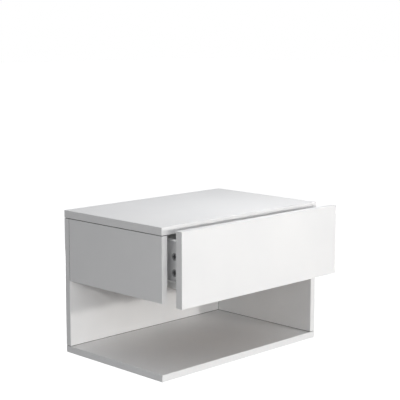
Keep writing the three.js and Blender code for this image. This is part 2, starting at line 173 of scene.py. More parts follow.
def grid_faces(rows, columns, round_columns=True, round_rows=False):
    """Quads between the neighbours of a grid of points. Where the grid goes round, its last column joins
    its first, or its last row its first."""
    spans = np.arange(rows - (not round_rows)), np.arange(columns - (not round_columns))
    row, column = np.meshgrid(*spans, indexing="ij")
    below, beside = (row + 1) % rows, (column + 1) % columns
    corners = [row * columns + column, row * columns + beside]
    corners += [below * columns + beside, below * columns + column]
    return np.stack(corners, -1).reshape(-1, 4)


def turned(outline, angles, worn=()):
    """A turned shape about Z: a ring for each radius and station of the outline, and a pole at each end.
    A radius is one number, or one for each angle where the section isn't round. The rings that show wear
    are named by their number, from either end."""
    sides = len(angles)
    radii = np.array([np.broadcast_to(radius, angles.shape) for radius, _ in outline])
    stations = np.array([station for _, station in outline])
    heights = np.broadcast_to(stations[:, None], radii.shape)
    rings = np.stack([radii * np.cos(angles), radii * np.sin(angles), heights], -1).reshape(-1, 3)
    poles = [[0.0, 0.0, stations[0]], [0.0, 0.0, stations[-1]]]
    first = np.arange(sides)
    last = first + sides * (len(outline) - 1)
    low_pole = len(rings)
    low_fan = np.stack([np.full(sides, low_pole), np.roll(first, -1), first], -1)
    high_fan = np.stack([np.full(sides, low_pole + 1), last, np.roll(last, -1)], -1)
    faces = grid_faces(len(outline), sides).tolist() + low_fan.tolist() + high_fan.tolist()
    wear = np.zeros(len(outline))
    wear[list(worn)] = 1.0
    point_wear = np.concatenate([np.repeat(wear, sides), [wear[0], wear[-1]]])
    return Shape(np.concatenate([rings, poles]), faces, point_wear)


def around(sides):
    """Equal angles of a full turn"""
    return np.arange(sides) * 2 * math.pi / sides


def bored_ring(outline, angles, wear):
    """A turned shape with a hole along its axis: the outline closes on itself."""
    radii, stations = np.array(outline).T[:, :, None]
    rings = np.stack([radii * np.cos(angles), radii * np.sin(angles), stations + 0 * angles], -1)
    faces = grid_faces(len(outline), len(angles), round_rows=True).tolist()
    return Shape(rings.reshape(-1, 3), faces, np.repeat(wear, len(angles)))


def box_shape(corner, opposite):
    """A plain box between two corners, for cuts"""
    low, high = np.sort([corner, opposite], axis=0)
    shares = np.array(np.meshgrid([0, 1], [0, 1], [0, 1], indexing="ij")).reshape(3, -1).T
    points = low + shares * (high - low)
    faces = [[0, 1, 3, 2], [4, 6, 7, 5], [0, 4, 5, 1], [2, 3, 7, 6], [0, 2, 6, 4], [1, 5, 7, 3]]
    return Shape(points, faces)


def board_shape(low, high, radius=EDGE_RADIUS, banded=True):
    """A board with round edges: a point of a plain box goes to the ball of the edge's radius that rolls
    inside it. A banded board's wide faces have the hairline between the face and the edge band."""
    low, high = np.array(low), np.array(high)
    centre, half = (low + high) / 2, (high - low) / 2
    thin = int(np.argmin(half))
    arc = radius * np.tan(np.linspace(0, math.pi / 4, EDGE_STEPS + 1))
    hairline = HAIRLINE * np.array([-1.0, 0.0, 1.0]) - BAND_THICKNESS
    stations = []
    for reach in half:
        outer = reach - radius + arc
        beyond = np.concatenate([reach + hairline, outer]) if banded else outer
        stations.append(np.concatenate([-beyond[::-1], beyond]))
    sides = []
    for axis in range(3):
        across, over = (axis + 1) % 3, (axis + 2) % 3
        a, b = np.meshgrid(stations[across], stations[over], indexing="ij")
        quads = grid_faces(len(stations[across]), len(stations[over]), False)
        for sign in (-1.0, 1.0):
            shell = np.empty(a.shape + (3,))
            shell[..., axis] = sign * half[axis]
            shell[..., across] = a
            shell[..., over] = b
            inner = np.clip(shell, radius - half, half - radius)
            outward = shell - inner
            point = inner + radius * outward / np.linalg.norm(outward, axis=-1, keepdims=True)
            if banded and axis == thin:
                on_line = np.isclose(abs(a), half[across] - BAND_THICKNESS, atol=HAIRLINE / 4)
                on_line |= np.isclose(abs(b), half[over] - BAND_THICKNESS, atol=HAIRLINE / 4)
                inside = (abs(a) < half[across] - radius) & (abs(b) < half[over] - radius)
                point[..., axis] -= sign * HAIRLINE_DEPTH * (on_line & inside)
            worked = np.count_nonzero(abs(outward) > MERGE, axis=-1) > 1
            faces = quads if sign < 0 else quads[:, ::-1]
            sides.append(Shape(point.reshape(-1, 3), faces.tolist(), worked.reshape(-1)))
    board = joined(sides)
    places = np.round(board.points / MERGE)
    _, first, merged = np.unique(places, axis=0, return_index=True, return_inverse=True)
    faces = merged.reshape(-1)[np.array(board.faces)]
    return Shape(board.points[first] + centre, faces.tolist(), board.wear[first])


def carried(outline, start, end):
    """A closed outline of X and Z, counter-clockwise as seen from the front, carried along Y"""
    count = len(outline)
    ends = [np.insert(outline, 1, y, axis=1) for y in (start, end)]
    sides = grid_faces(2, count)[:, ::-1].tolist()
    caps = [list(range(count)), list(range(2 * count - 1, count - 1, -1))]
    return Shape(np.concatenate(ends), sides + caps)


def bent_sheet(legs):
    """The section of a sheet folded along a middle line, as a closed outline. Each fold's two walls are
    arcs about one centre, half a thickness inside and outside the middle line."""
    legs = np.asarray(legs, float)
    middle_radius = BEND_RADIUS + SHEET / 2
    directions = np.diff(legs, axis=0)
    directions /= np.linalg.norm(directions, axis=1, keepdims=True)
    normals = np.stack([-directions[:, 1], directions[:, 0]], -1)
    left = [legs[:1] + normals[0] * SHEET / 2]
    right = [legs[:1] - normals[0] * SHEET / 2]
    for corner, before, after, normal in zip(legs[1:-1], directions, directions[1:], normals):
        turn = before[0] * after[1] - before[1] * after[0]
        bend = math.copysign(math.acos(float(np.clip(before @ after, -1, 1))), turn)
        sign = math.copysign(1.0, bend)
        setback = middle_radius * math.tan(abs(bend) / 2)
        centre = corner - before * setback + normal * middle_radius * sign
        sweep = np.linspace(0, bend, BEND_STEPS + 1)[:, None]
        spoke = -sign * (normal * np.cos(sweep) - before * np.sin(sweep))
        left.append(centre + spoke * (middle_radius - sign * SHEET / 2))
        right.append(centre + spoke * (middle_radius + sign * SHEET / 2))
    left.append(legs[-1:] + normals[-1] * SHEET / 2)
    right.append(legs[-1:] - normals[-1] * SHEET / 2)
    outline = np.concatenate(right + [part[::-1] for part in left[::-1]])
    ahead = np.roll(outline, -1, axis=0)
    area = np.sum(outline[:, 0] * ahead[:, 1] - ahead[:, 0] * outline[:, 1]) / 2
    return outline if area > 0 else outline[::-1]


# Meshes

def new_object(name, data):
    """An object in the scene, at the origin"""
    item = bpy.data.objects.new(name, data)
    bpy.context.scene.collection.objects.link(item)
    return item


def points_of(mesh):
    """A mesh's points, as rows of X, Y and Z"""
    points = np.empty(len(mesh.vertices) * 3)
    mesh.vertices.foreach_get("co", points)
    return points.reshape(-1, 3)


def mesh_of(name, shape, materials):
    """A mesh of a shape, with the wear of its points as an attribute"""
    mesh = bpy.data.meshes.new(name)
    mesh.from_pydata(shape.points.tolist(), [], shape.faces)
    attribute = mesh.attributes.new("wear", "FLOAT", "POINT")
    attribute.data.foreach_set("value", shape.wear.astype(np.float32))
    for material in materials:
        mesh.materials.append(material)
    return mesh


def boolean(mesh, shape, marks=None, operation="DIFFERENCE"):
    """The mesh less a shape, or joined to it. A cut's walls take the last of the mesh's materials, or the
    ones whose numbers are given for the shape's faces."""
    body = new_object("worked", mesh)
    tool_mesh = mesh_of("tool", shape, mesh.materials)
    numbers = len(mesh.materials) - 1 if marks is None else marks
    tool_mesh.polygons.foreach_set("material_index", np.full(len(shape.faces), numbers, np.int32))
    tool = new_object("tool", tool_mesh)
    modifier = body.modifiers.new("work", "BOOLEAN")
    modifier.operation = operation
    modifier.solver = "EXACT"
    modifier.use_self = True
    modifier.object = tool
    depsgraph = bpy.context.evaluated_depsgraph_get()
    made = bpy.data.meshes.new_from_object(body.evaluated_get(depsgraph))
    for item in (body, tool):
        bpy.data.objects.remove(item)
    for old in (mesh, tool_mesh):
        bpy.data.meshes.remove(old)
    return made


def add_piece(prefix, node, mesh, smooth_angle=SMOOTH_ANGLE):
    """Puts a finished mesh in the place of a node, on the node's body."""
    name = prefix + "_" + node
    mesh.name = name
    mesh.shade_smooth()
    mesh.set_sharp_from_angle(angle=math.radians(smooth_angle))
    piece = new_object(name, mesh)
    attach(piece, frame["nodes"][node]["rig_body"])
    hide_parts(node)
    return piece


# Materials: a finish is a function that makes its nodes in a tree and gives its shader's inputs

# What a noise runs between, apart from its rare peaks
NOISE_LOW, NOISE_HIGH = 0.3, 0.7

# The colour sockets of a mix node, by their number
FIRST_COLOUR, SECOND_COLOUR, MIXED_COLOUR = 6, 7, 2


def finished(make):
    """A material with the name and the looks of a finish"""
    material = bpy.data.materials.new(make.__name__)
    material.use_nodes = True
    tree = material.node_tree
    set_inputs(tree, tree.nodes["Principled BSDF"], make(tree))
    return material


def set_inputs(tree, node, inputs):
    """Links each input that is given another node's socket, and sets any other."""
    for name, value in inputs.items():
        if isinstance(value, bpy.types.NodeSocket):
            tree.links.new(value, node.inputs[name])
        else:
            node.inputs[name].default_value = value


def add_node(tree, kind, inputs=None, **settings):
    """A node of a kind, with its settings and its inputs"""
    node = tree.nodes.new("ShaderNode" + kind)
    for name, value in settings.items():
        setattr(node, name, value)
    set_inputs(tree, node, inputs or {})
    return node


def object_point(tree):
    """The shaded point in the object's own space"""
    return add_node(tree, "TexCoord").outputs["Object"]


def wear_of(tree):
    """The wear at the shaded point"""
    return add_node(tree, "Attribute", attribute_name="wear").outputs["Fac"]


def noise(tree, scale, detail, roughness=0.5, stretch=None):
    """Noise in the object's space. A stretch gives its own scale to each axis."""
    point = object_point(tree)
    if stretch:
        point = add_node(tree, "Mapping", {"Vector": point, "Scale": stretch}).outputs["Vector"]
    inputs = {"Vector": point, "Scale": scale, "Detail": detail, "Roughness": roughness}
    return add_node(tree, "TexNoise", inputs).outputs["Fac"]


def graded(tree, value, to_low, to_high, low=NOISE_LOW, high=NOISE_HIGH):
    """A value's range from low to high, taken to another range"""
    inputs = {"Value": value, "From Min": low, "From Max": high, "To Min": to_low, "To Max": to_high}
    return add_node(tree, "MapRange", inputs).outputs["Result"]


def toned(tree, value, *colours, places=(NOISE_LOW, NOISE_HIGH)):
    """A value as a colour, between colours at places in its range"""
    ramp = add_node(tree, "ValToRGB", {"Fac": value})
    elements = ramp.color_ramp.elements
    while len(elements) < len(colours):
        elements.new(1.0)
    for element, place, colour in zip(elements, places, colours):
        element.position = place
        element.color = (*colour, 1.0)
    return ramp.outputs["Color"]


def combined(tree, operation, first, second):
    """Two values, each a socket or a number, by an operation of the maths node"""
    return add_node(tree, "Math", {0: first, 1: second}, operation=operation).outputs[0]


def mixed(tree, share, first, second):
    """Two colours, mixed by a share of the second"""
    first, second = ((*item, 1.0) if isinstance(item, tuple) else item for item in (first, second))
    inputs = {"Factor": share, FIRST_COLOUR: first, SECOND_COLOUR: second}
    return add_node(tree, "Mix", inputs, data_type="RGBA").outputs[MIXED_COLOUR]


def raised(tree, height, strength, distance, before=None):
    """Bumps from a height, on top of earlier bumps"""
    inputs = {"Height": height, "Strength": strength, "Distance": distance}
    if before is not None:
        inputs["Normal"] = before
    return add_node(tree, "Bump", inputs).outputs["Normal"]


def white_melamine(tree):
    """White melamine on the faces and a matching edge band: a fine pearl texture, and faint clouds"""
    face = toned(tree, noise(tree, 7.0, 3.0), (0.83, 0.832, 0.836), (0.86, 0.86, 0.86))
    pearl = raised(tree, noise(tree, 1100.0, 1.5), 0.16, 0.00006)
    return {
        "Base Color": mixed(tree, combined(tree, "MULTIPLY", wear_of(tree), 0.7), face, (0.80, 0.80, 0.797)),
        "Roughness": graded(tree, noise(tree, 38.0, 4.0, 0.6), 0.42, 0.50),
        "Specular IOR Level": 0.4,
        "Normal": raised(tree, noise(tree, 210.0, 2.0), 0.08, 0.0001, pearl),
    }


def bare_chipboard(tree):
    """Bare particle board, as in bores and grooves: pale and dark flakes pressed together"""
    flakes = add_node(tree, "TexVoronoi", {"Vector": object_point(tree), "Scale": 620.0})
    shade = add_node(tree, "SeparateColor", {"Color": flakes.outputs["Color"]}).outputs["Red"]
    tones = [(0.20, 0.12, 0.06), (0.42, 0.29, 0.17), (0.60, 0.46, 0.30)]
    return {
        "Base Color": toned(tree, shade, *tones, places=(0.0, 0.45, 1.0)),
        "Roughness": 0.85,
        "Normal": raised(tree, flakes.outputs["Distance"], 0.5, 0.0003),
    }


def painted_joint_shade(tree):
    """Painted shade: a dull dark grey on the walls of the joints' grooves and seats, so that the seams
    between boards show dark
    """
    mottle = noise(tree, 300.0, 3.0)
    return {
        "Base Color": toned(tree, mottle, (0.21, 0.211, 0.214), (0.27, 0.27, 0.272)),
        "Roughness": 0.75,
        "Normal": raised(tree, mottle, 0.2, 0.0001),
    }


def white_lacquered_hardboard(tree):
    """The lacquered face of a thin fibre board, with its fibres faintly through"""
    fibres = noise(tree, 1.0, 4.0, 0.7, stretch=(420.0, 60.0, 420.0))
    return {
        "Base Color": toned(tree, fibres, (0.76, 0.755, 0.735), (0.80, 0.797, 0.78)),
        "Roughness": graded(tree, fibres, 0.52, 0.64),
        "Normal": raised(tree, fibres, 0.25, 0.0001),
    }


def raw_hardboard(tree):
    """The bare brown side of the fibre board, with the print of the press's mesh"""
    fibres = noise(tree, 260.0, 5.0, 0.7)
    grain = raised(tree, fibres, 0.4, 0.0002)
    for direction in ("X", "Y"):
        inputs = {"Vector": object_point(tree), "Scale": 95.0}
        mesh_print = add_node(tree, "TexWave", inputs, bands_direction=direction).outputs["Fac"]
        grain = raised(tree, mesh_print, 0.35, 0.0002, grain)
    return {
        "Base Color": toned(tree, fibres, (0.17, 0.10, 0.055), (0.30, 0.19, 0.11)),
        "Roughness": 0.8,
        "Normal": grain,
    }


def white_coated_steel(tree):
    """White epoxy on the runners' sheet steel, greyed where the rollers run"""
    smears = noise(tree, 1.0, 3.0, 0.6, stretch=(60.0, 9.0, 60.0))
    coat = toned(tree, smears, (0.81, 0.81, 0.80), (0.86, 0.86, 0.85))
    patches = combined(tree, "MULTIPLY", graded(tree, smears, 0.3, 1.0, 0.35, 0.65), 0.55)
    rubbed = combined(tree, "MULTIPLY", patches, wear_of(tree))
    return {
        "Base Color": mixed(tree, rubbed, coat, (0.48, 0.48, 0.47)),
        "Roughness": graded(tree, smears, 0.26, 0.36),
        "Normal": raised(tree, noise(tree, 650.0, 2.0), 0.12, 0.0001),
    }


def zinc_plated_steel(tree):
    """Zinc-plated steel: a soft metal sheen in small blotches, brighter on worked edges"""
    blotches = noise(tree, 420.0, 4.0, 0.65)
    plate = toned(tree, blotches, (0.56, 0.575, 0.60), (0.68, 0.68, 0.67))
    return {
        "Base Color": mixed(tree, wear_of(tree), plate, (0.76, 0.765, 0.77)),
        "Metallic": 1.0,
        "Roughness": graded(tree, blotches, 0.28, 0.46),
        "Normal": raised(tree, noise(tree, 2400.0, 2.0), 0.15, 0.00004),
    }


def dark_die_cast_zinc(tree):
    """Dark die-cast zinc, as cams are: a cast grain, and a lighter rubbed rim"""
    grain = noise(tree, 900.0, 4.0, 0.7)
    body = toned(tree, grain, (0.12, 0.122, 0.128), (0.19, 0.192, 0.198))
    return {
        "Base Color": mixed(tree, wear_of(tree), body, (0.42, 0.42, 0.425)),
        "Metallic": 0.9,
        "Roughness": graded(tree, grain, 0.38, 0.58),
        "Normal": raised(tree, grain, 0.3, 0.0001),
    }


def natural_nylon(tree):
    """Natural nylon, a little translucent, greyed on the tread"""
    flow = noise(tree, 160.0, 3.0)
    body = toned(tree, flow, (0.74, 0.72, 0.65), (0.80, 0.78, 0.72))
    return {
        "Base Color": mixed(tree, combined(tree, "MULTIPLY", wear_of(tree), 0.6), body, (0.46, 0.45, 0.42)),
        "Roughness": graded(tree, flow, 0.40, 0.52),
        "Subsurface Weight": 0.15,
        "Subsurface Radius": (0.0012, 0.001, 0.0008),
        "Normal": raised(tree, noise(tree, 1500.0, 2.0), 0.1, 0.00005),
    }


def bare_beech(tree):
    """Bare beech, with its grain along Z as the dowels stand, and its short dark flecks"""
    grain = noise(tree, 1.0, 4.0, 0.6, stretch=(1300.0, 1300.0, 90.0))
    tones = [(0.40, 0.25, 0.13), (0.58, 0.40, 0.24), (0.64, 0.47, 0.30)]
    return {
        "Base Color": toned(tree, grain, *tones, places=(0.35, 0.5, 0.7)),
        "Roughness": 0.72,
        "Normal": raised(tree, grain, 0.3, 0.0001),
    }


FINISHES = (
    white_melamine, bare_chipboard, painted_joint_shade, white_lacquered_hardboard, raw_hardboard,
    white_coated_steel, zinc_plated_steel, dark_die_cast_zinc, natural_nylon, bare_beech,
)


def pale_floor(tree):
    """Pale grey that shows white where it is seen"""
    return {
        "Base Color": (FLOOR_GREY, FLOOR_GREY, FLOOR_GREY, 1.0),
        "Roughness": FLOOR_ROUGHNESS,
        "Emission Color": (1.0, 1.0, 1.0, 1.0),
        "Emission Strength": combined(tree, "MULTIPLY", seen_share(tree), FLOOR_GLOW),
    }


# Places taken from the frame

def corners(node):
    """The lowest and highest corner of a node's box, as arrays"""
    low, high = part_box(node)
    return np.array(low), np.array(high)


def along(node, direction):
    """A turned node's box, read along a direction: where it starts on its axis, its length and its
    greatest radius"""
    low, high = corners(node)
    axis = int(np.argmax(abs(direction)))
    start = (low + high) / 2
    start[axis] = low[axis] if direction[axis] > 0 else high[axis]
    radius = (high - low)[(axis + 1) % 3] / 2
    return start, (high - low)[axis], radius


cuts = {}


def cut(shape, *nodes):
    """Lists a cutter for each of some boards and runners"""
    for node in nodes:
        cuts.setdefault(node, []).append(shape)


def hole(place, direction, radius, depth):
    """A cutter that enters a face at a place"""
    return turned([(radius, -OVERRUN), (radius, depth)], around(BORE_SIDES)).moved(place, direction)


# Fasteners

# Half of the width of a thread's ridge, as a share of the pitch
RIDGE_SHARE = 1 / 3

# Angles near an arm's corner in a cross recess, as shares of the corner's own angle
CORNER_SHARES = (0.999, 1.6)


def thread(start, end, core, crest, pitch, angles, run_out):
    """Rings of a single-start thread. The radius rises to a crest where the turn and the station meet:
    station / pitch - angle / turn is a whole number. It fades over the run-out at both ends."""
    steps = max(2, int(round(abs(end - start) / pitch * THREAD_STEPS)))
    stations = np.linspace(start, end, steps + 1)
    phase = stations[:, None] / pitch - angles[None, :] / (2 * math.pi)
    ridge = np.clip(1 - abs(phase - np.round(phase)) / RIDGE_SHARE, 0, 1)
    fade = np.clip(np.minimum(stations - start, end - stations) / run_out, 0, 1)[:, None]
    return list(zip(core + (crest - core) * ridge * fade, stations))


def hexagon(reach, angles):
    """The wall of a hexagon socket, as a radius at each angle: the reach of a flat over the cosine of the
    angle from the flat's middle. Reach is half of the width across flats."""
    sixth = math.pi / 3
    return reach / np.cos((angles + sixth / 2) % sixth - sixth / 2)


def cross(half_length, half_width, angles):
    """The wall of a cross recess, as a radius at each angle: the nearer of an arm's end and its side"""
    quarter = math.pi / 2
    turn = (angles + quarter / 2) % quarter - quarter / 2
    return np.minimum(half_length / np.cos(turn), half_width / np.maximum(abs(np.sin(turn)), MERGE))


def cross_angles(half_length, half_width):
    """Angles of a full turn that hold the corners of a cross recess"""
    near, beyond = math.atan2(half_width, half_length) * np.array(CORNER_SHARES)
    quarter = np.array([0.0, near, beyond, math.pi / 4, math.pi / 2 - beyond, math.pi / 2 - near])
    return np.concatenate([quarter + k * math.pi / 2 for k in range(4)])


def out_edge(radius, station, size=BREAK):
    """The broken edge where a turned outline comes out to a radius at a station"""
    return [(radius - size, station), (radius, station + size)]


def in_edge(radius, station, size=BREAK):
    """The broken edge where a turned outline goes in from a radius at a station"""
    return [(radius, station - size), (radius - size, station)]


def add_turned(node, outline, angles, worn, place, direction, smooth_angle=SMOOTH_ANGLE,
               finish="zinc_plated_steel"):
    """A turned piece, whose origin goes to a place and whose stations run along a direction"""
    shape = turned(outline, angles, worn).moved(place, direction)
    add_piece("turned", node, mesh_of(node, shape, [finishes[finish]]), smooth_angle)


POINT_RADIUS = 0.0004
POINT_LENGTH = 0.0012
CARCASS_HEAD_DEPTH = 0.003
CARCASS_SHANK_RADIUS = 0.0025
CARCASS_POINT_SHARE = 0.5
CARCASS_CREST_SHARE = 0.7
CARCASS_THREAD_PITCH = 0.003
CARCASS_RUN_OUT = 0.003
CARCASS_COLLAR = 0.014
SOCKET_REACH = 0.002
SOCKET_DEPTH = 0.0026
SOCKET_POINT = 0.0006
HEAD_SINK = 0.0005


def add_carcass_screw(node, direction, boards):
    """A countersunk screw with a hexagon socket, a plain collar and a deep thread, driven along a
    direction. Its shape is drawn with the head's top at station 0 and turned to face out."""
    place, length, radius = along(node, direction)
    crest = radius * CARCASS_CREST_SHARE
    angles = around(FASTENER_SIDES)
    socket = hexagon(SOCKET_REACH, angles)
    start, end = CARCASS_RUN_OUT - length, -CARCASS_COLLAR
    outline = [(POINT_RADIUS, -length), (CARCASS_SHANK_RADIUS * CARCASS_POINT_SHARE, POINT_LENGTH - length)]
    outline += thread(start, end, CARCASS_SHANK_RADIUS, crest, CARCASS_THREAD_PITCH, angles, CARCASS_RUN_OUT)
    outline += [(crest, end + BREAK), (crest, -CARCASS_HEAD_DEPTH), (radius - BREAK, -2 * BREAK)]
    outline += in_edge(radius, 0.0)
    outline += [(socket + BREAK, 0.0), (socket, -BREAK), (socket, -SOCKET_DEPTH)]
    outline += [(SOCKET_POINT, -SOCKET_DEPTH - SOCKET_POINT)]
    add_turned(node, outline, angles, (-6, -5, -4), place, -direction)
    bore = [(radius + FIT, -OVERRUN - HEAD_SINK), (radius + FIT, 0.0)]
    bore += [(crest + FIT, CARCASS_HEAD_DEPTH), (crest + FIT, length + FIT)]
    cut(turned(bore, around(BORE_SIDES)).moved(place, direction), *boards)


PAN_PITCH = 0.0014
PAN_HEAD = 0.0015
PAN_CORE = 0.0012
PAN_CREST = 0.00175
PAN_POINT = 0.002
PAN_THREAD_START = 0.0022
PAN_NECK = 0.0004
PAN_RUN_OUT = 0.001
PAN_DOME_SHARE = 0.5
PAN_DOME_STEPS = 5
POLE_RADIUS = 0.0002
RECESS_LENGTH = 0.0016
RECESS_WIDTH = 0.00036
RECESS_DEPTH = 0.001
RECESS_END_SHARE = 0.55


def add_runner_screw(node, outward, board, sheet_node):
    """A pan-head screw with a cross recess, whose head lies on the runner's sheet"""
    head_top, length, radius = along(node, -outward)
    angles = cross_angles(RECESS_LENGTH, RECESS_WIDTH)
    recess = cross(RECESS_LENGTH, RECESS_WIDTH, angles)
    dome = radius - PAN_HEAD * PAN_DOME_SHARE
    start, end = PAN_THREAD_START - length, -PAN_HEAD - PAN_NECK
    outline = [(POLE_RADIUS, -length), (PAN_CORE, PAN_POINT - length)]
    outline += thread(start, end, PAN_CORE, PAN_CREST, PAN_PITCH, angles, PAN_RUN_OUT)
    outline += [(PAN_CORE, -PAN_HEAD - BREAK / 2), (radius - BREAK, -PAN_HEAD)]
    for turn in np.linspace(0, math.pi / 2, PAN_DOME_STEPS + 1):
        rim = dome + (radius - dome) * math.cos(turn)
        outline.append((rim, (math.sin(turn) - 1) * (PAN_HEAD - BREAK)))
    outline += [(recess + BREAK / 2, 0.0), (recess, -BREAK / 2)]
    outline += [(recess * RECESS_END_SHARE, -RECESS_DEPTH), (POLE_RADIUS, -RECESS_DEPTH)]
    add_turned(node, outline, angles, (-6, -5, -4), head_top, outward, DOME_SMOOTH_ANGLE)
    cut(hole(head_top, -outward, PAN_CREST + FIT, length + FIT), board, sheet_node)


CAM_BODY_SHRINK = 0.001
CAM_RIM = 0.00075
CAM_RIM_WIDTH = 0.0007
CAM_DISH = 0.0004
CAM_DISH_INSET = 0.0011
CAM_POLE_RADIUS = 0.0003
CAM_RECESS_LENGTH = 0.0042
CAM_RECESS_WIDTH = 0.0011
CAM_RECESS_DEPTH = 0.0028
CAM_RECESS_END_SHARE = 0.7
CAM_POCKET_RADIUS = 0.00305
CAM_POCKET_START = 0.0018
CAM_POCKET_DROP = 0.008
CAM_ARROW = 0.0011
CAM_ARROW_PLACE = 0.0058
LEAST_ANGLE = 1e-3


def arrow_mark():
    """A small triangle to sink in a cam's face, which points to where the bolt enters, along Y"""
    outline = [(CAM_ARROW, CAM_RIM - CAM_DISH * 2), (CAM_ARROW, CAM_RIM + OVERRUN)]
    return turned(outline, around(3) + math.pi / 2).moved((0.0, CAM_ARROW_PLACE, 0.0))


def add_cam(node, outward, to_bolt, board):
    """A cam in its bore: a dished face with a rim, a cross recess and an arrow, and a side pocket that
    takes the bolt's head"""
    start, length, radius = along(node, outward)
    angles = np.sort(np.concatenate([cross_angles(CAM_RECESS_LENGTH, CAM_RECESS_WIDTH), around(CAM_SIDES)]))
    angles = angles[np.append(np.diff(angles) > LEAST_ANGLE, True)]
    recess = cross(CAM_RECESS_LENGTH, CAM_RECESS_WIDTH, angles)
    body = radius - CAM_BODY_SHRINK - FIT
    dish, recess_end = CAM_RIM - CAM_DISH, CAM_RIM - CAM_RECESS_DEPTH
    outline = out_edge(body, CAM_RIM - length) + [(body, 0.0)]
    outline += out_edge(radius, 0.0) + in_edge(radius, CAM_RIM)
    outline += [(radius - CAM_RIM_WIDTH, CAM_RIM), (radius - CAM_DISH_INSET, dish)]
    outline += [(recess + BREAK, dish), (recess, dish - BREAK)]
    outline += [(recess * CAM_RECESS_END_SHARE, recess_end), (CAM_POLE_RADIUS, recess_end)]
    shape = turned(outline, angles, worn=(5, 6, 7, 8))
    pocket_place = (0.0, -CAM_POCKET_START, -CAM_POCKET_DROP)
    pocket = hole(pocket_place, AXES["back"], CAM_POCKET_RADIUS, radius + OVERRUN)
    mesh = mesh_of(node, shape, [finishes["dark_die_cast_zinc"]])
    mesh = boolean(mesh, joined([pocket, arrow_mark()]))
    basis = np.stack([np.cross(to_bolt, outward), to_bolt, outward])
    face = start + outward * (length - CAM_RIM)
    mesh.vertices.foreach_set("co", (points_of(mesh) @ basis + face).ravel())
    add_piece("cast", node, mesh)
    cut(hole(face, -outward, radius - CAM_BODY_SHRINK, length - CAM_RIM + FIT), board)


BOLT_REACH = 0.034
BOLT_COLLAR_RADIUS = 0.0035
BOLT_COLLAR = 0.002
BOLT_RADIUS = 0.003
BOLT_NECK_RADIUS = 0.00175
BOLT_NECK = 0.004
BOLT_SHOULDER = 0.0005
BOLT_HEAD_RADIUS = 0.00275
BOLT_HEAD = 0.003
BOLT_FILLET = 0.0003
BOLT_HEAD_ROUND = 0.0006
BOLT_CORE = 0.0017
BOLT_CREST = 0.0025
BOLT_PITCH = 0.002
BOLT_THREAD_START = 0.0014
BOLT_THREAD_END = -0.0004
BOLT_RUN_OUT = 0.0015


def add_bolt(node, to_partner, carrier, partner):
    """A cam's bolt: a thread in one board, a collar at its face, a shank, a neck and a round head"""
    tip, length, _ = along(node, -to_partner)
    head_end = BOLT_REACH + BOLT_HEAD / 2
    head_start = head_end - BOLT_HEAD
    bite = length - head_end
    seat = tip - to_partner * bite
    neck = head_start - BOLT_NECK
    angles = around(FASTENER_SIDES)
    start = BOLT_THREAD_START - bite
    outline = [(POINT_RADIUS, -bite), (BOLT_CORE, POINT_LENGTH - bite)]
    outline += thread(start, BOLT_THREAD_END, BOLT_CORE, BOLT_CREST, BOLT_PITCH, angles, BOLT_RUN_OUT)
    outline += out_edge(BOLT_COLLAR_RADIUS, 0.0) + in_edge(BOLT_COLLAR_RADIUS, BOLT_COLLAR)
    outline += [(BOLT_RADIUS, BOLT_COLLAR)] + in_edge(BOLT_RADIUS, neck)
    outline += [(BOLT_NECK_RADIUS, neck + BOLT_SHOULDER), (BOLT_NECK_RADIUS, head_start - BOLT_FILLET)]
    outline += out_edge(BOLT_HEAD_RADIUS, head_start) + in_edge(BOLT_HEAD_RADIUS, head_end, BOLT_HEAD_ROUND)
    add_turned(node, outline, angles, (-4, -3, -2, -1), seat, -to_partner)
    cut(hole(seat, -to_partner, BOLT_COLLAR_RADIUS + FIT, BOLT_REACH), carrier)
    cut(hole(seat, to_partner, BOLT_CREST + FIT, bite + FIT), partner)


DOWEL_FLUTES = 16
FLUTE_STEPS = 4
FLUTE_DEPTH = 0.0002
DOWEL_BEVEL = 0.001

# The dowel's end: how far in and how far along the outline goes, as shares of the bevel
DOWEL_END_SHARES = ((1.0, 0.0), (0.3, 0.4), (0.0, 1.0))


def add_dowel(node, inward, boards):
    """A fluted dowel: the radius falls into a flute a whole number of times in a turn."""
    start, length, radius = along(node, inward)
    angles = around(DOWEL_FLUTES * FLUTE_STEPS)
    fluted = radius - FLUTE_DEPTH * ((1 + np.cos(angles * DOWEL_FLUTES)) / 2) ** 2
    outline = [(fluted - DOWEL_BEVEL * inner, DOWEL_BEVEL * share) for inner, share in DOWEL_END_SHARES]
    outline += [(ring, length - station) for ring, station in outline[::-1]]
    add_turned(node, outline, angles, (), start, inward, FLUTE_SMOOTH_ANGLE, "bare_beech")
    cut(hole(start - inward * FIT, inward, radius + FIT, length + FIT * 2), *boards)


# Rollers

ROLLER_BORE = 0.0023
ROLLER_HUB = 0.0042
ROLLER_GROOVE = 0.0064
ROLLER_GROOVE_DEPTH = 0.0008
ROLLER_GROOVE_SLOPE = 0.0004
ROLLER_SHOULDER = 0.00075
ROLLER_CROWN = 0.00012
SHOULDER_STEPS = 4
TREAD_STEPS = 8
PIN_TAIL_RADIUS = 0.0015
PIN_SHANK_RADIUS = 0.002
PIN_POLE_RADIUS = 0.0003
PIN_HEAD = 0.00125
PIN_COLLAR = 0.0002
PIN_DOME_STEPS = 6
PIN_DOME_SHARE = 0.93


